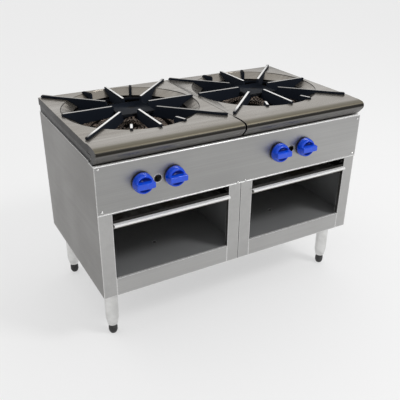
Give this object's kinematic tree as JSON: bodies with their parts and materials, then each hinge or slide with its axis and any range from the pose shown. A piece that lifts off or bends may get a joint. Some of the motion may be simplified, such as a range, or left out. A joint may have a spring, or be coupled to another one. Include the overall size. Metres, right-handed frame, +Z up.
{
  "type": "stock pot range",
  "caption": "Free-standing gas stock pot range with round wells, spider grates, ring burners, a knob panel, drip trays and an open storage base on legs.",
  "frame": {"origin": "on the floor, under the middle of the whole range, from the knobs' fronts to the end of the gas inlet", "axes": "+Z up, +X to the right as seen from the front, front towards -Y"},
  "size_m": [0.914, 0.5602, 0.653],
  "materials": {
    "brushed_stainless": "brushed stainless sheet",
    "polished_steel": "bright polished stainless",
    "galvanised_steel": "dull galvanised sheet",
    "ground_iron": "ground bare cast iron, lightly oiled",
    "black_iron": "black cast iron with worn bright tops",
    "burner_iron": "rough brown-black casting",
    "black_pipe": "black gas pipe",
    "cast_aluminium": "dull die casting",
    "brass": "machined",
    "blue_plastic": "glossy cobalt blue moulding",
    "foot_plastic": "dark moulding"
  },
  "bodies": {
    "cabinet": {"left_outer_side_panel": "brushed_stainless", "left_inner_side_panel": "brushed_stainless", "left_back_panel": "galvanised_steel", "left_floor_pan": "brushed_stainless", "left_tray_runner_outer": "galvanised_steel", "left_tray_runner_inner": "galvanised_steel", "left_inner_burner": "burner_iron", "left_outer_burner": "burner_iron", "left_burner_saddle": "galvanised_steel", "left_burner_rest": "galvanised_steel", "left_pilot_tube": "polished_steel", "left_pilot_valve": "brass", "left_outer_valve": "brass", "left_inner_valve": "brass", "leg_front_left": "polished_steel", "leg_back_left": "polished_steel", "right_outer_side_panel": "brushed_stainless", "right_inner_side_panel": "brushed_stainless", "right_back_panel": "galvanised_steel", "right_floor_pan": "brushed_stainless", "right_tray_runner_outer": "galvanised_steel", "right_tray_runner_inner": "galvanised_steel", "right_inner_burner": "burner_iron", "right_outer_burner": "burner_iron", "right_burner_saddle": "galvanised_steel", "right_burner_rest": "galvanised_steel", "right_pilot_tube": "polished_steel", "right_pilot_valve": "brass", "right_outer_valve": "brass", "right_inner_valve": "brass", "leg_front_right": "polished_steel", "leg_back_right": "polished_steel", "control_panel": "brushed_stainless", "gas_manifold": "black_pipe", "pressure_regulator": "cast_aluminium", "gas_inlet_pipe": "black_pipe"},
    "left_outer_control": {"left_outer_knob": "blue_plastic", "left_outer_valve_stem": "polished_steel"},
    "left_inner_control": {"left_inner_knob": "blue_plastic", "left_inner_valve_stem": "polished_steel"},
    "right_outer_control": {"right_outer_knob": "blue_plastic", "right_outer_valve_stem": "polished_steel"},
    "right_inner_control": {"right_inner_knob": "blue_plastic", "right_inner_valve_stem": "polished_steel"},
    "left_outer_shutter": {"left_outer_air_shutter": "galvanised_steel"},
    "left_inner_shutter": {"left_inner_air_shutter": "galvanised_steel"},
    "right_outer_shutter": {"right_outer_air_shutter": "galvanised_steel"},
    "right_inner_shutter": {"right_inner_air_shutter": "galvanised_steel"},
    "left_tray": {"left_drip_tray": "polished_steel"},
    "right_tray": {"right_drip_tray": "polished_steel"},
    "left_top": {"left_top_casting": "ground_iron"},
    "right_top": {"right_top_casting": "ground_iron"},
    "left_grate": {"left_spider_grate": "black_iron"},
    "right_grate": {"right_spider_grate": "black_iron"},
    "front_left_foot": {"foot_front_left": "foot_plastic"},
    "front_right_foot": {"foot_front_right": "foot_plastic"},
    "back_left_foot": {"foot_back_left": "foot_plastic"},
    "back_right_foot": {"foot_back_right": "foot_plastic"}
  },
  "joints": [
    {"name": "left_outer_knob_turn", "type": "hinge", "parent": "cabinet", "child": "left_outer_control", "pos_m": [-0.3265, -0.26185, 0.528], "axis": [0, -1, 0], "range_deg": [0, 90]},
    {"name": "left_inner_knob_turn", "type": "hinge", "parent": "cabinet", "child": "left_inner_control", "pos_m": [-0.2285, -0.26185, 0.528], "axis": [0, -1, 0], "range_deg": [0, 90]},
    {"name": "right_outer_knob_turn", "type": "hinge", "parent": "cabinet", "child": "right_outer_control", "pos_m": [0.1305, -0.26185, 0.528], "axis": [0, -1, 0], "range_deg": [0, 90]},
    {"name": "right_inner_knob_turn", "type": "hinge", "parent": "cabinet", "child": "right_inner_control", "pos_m": [0.2285, -0.26185, 0.528], "axis": [0, -1, 0], "range_deg": [0, 90]},
    {"name": "left_outer_shutter_turn", "type": "hinge", "parent": "cabinet", "child": "left_outer_shutter", "pos_m": [-0.3265, -0.15985, 0.528], "axis": [0, -1, 0], "range_deg": [-40, 40]},
    {"name": "left_inner_shutter_turn", "type": "hinge", "parent": "cabinet", "child": "left_inner_shutter", "pos_m": [-0.2285, -0.15985, 0.528], "axis": [0, -1, 0], "range_deg": [-40, 40]},
    {"name": "right_outer_shutter_turn", "type": "hinge", "parent": "cabinet", "child": "right_outer_shutter", "pos_m": [0.1305, -0.15985, 0.528], "axis": [0, -1, 0], "range_deg": [-40, 40]},
    {"name": "right_inner_shutter_turn", "type": "hinge", "parent": "cabinet", "child": "right_inner_shutter", "pos_m": [0.2285, -0.15985, 0.528], "axis": [0, -1, 0], "range_deg": [-40, 40]},
    {"name": "left_tray_slide", "type": "slide", "parent": "cabinet", "child": "left_tray", "axis": [0, -1, 0], "range_m": [0, 0.4]},
    {"name": "right_tray_slide", "type": "slide", "parent": "cabinet", "child": "right_tray", "axis": [0, -1, 0], "range_m": [0, 0.4]},
    {"name": "left_top_lift", "type": "slide", "parent": "cabinet", "child": "left_top", "axis": [0, 0, 1], "range_m": [0, 0.15]},
    {"name": "right_top_lift", "type": "slide", "parent": "cabinet", "child": "right_top", "axis": [0, 0, 1], "range_m": [0, 0.15]},
    {"name": "left_grate_lift", "type": "slide", "parent": "left_top", "child": "left_grate", "axis": [0, 0, 1], "range_m": [0, 0.1]},
    {"name": "right_grate_lift", "type": "slide", "parent": "right_top", "child": "right_grate", "axis": [0, 0, 1], "range_m": [0, 0.1]},
    {"name": "front_left_foot_turn", "type": "hinge", "parent": "cabinet", "child": "front_left_foot", "pos_m": [-0.4165, -0.17985, 0.03], "axis": [0, 0, 1], "continuous": true},
    {"name": "front_right_foot_turn", "type": "hinge", "parent": "cabinet", "child": "front_right_foot", "pos_m": [0.4165, -0.17985, 0.03], "axis": [0, 0, 1], "continuous": true},
    {"name": "back_left_foot_turn", "type": "hinge", "parent": "cabinet", "child": "back_left_foot", "pos_m": [-0.4165, 0.20415, 0.03], "axis": [0, 0, 1], "continuous": true},
    {"name": "back_right_foot_turn", "type": "hinge", "parent": "cabinet", "child": "back_right_foot", "pos_m": [0.4165, 0.20415, 0.03], "axis": [0, 0, 1], "continuous": true}
  ]
}
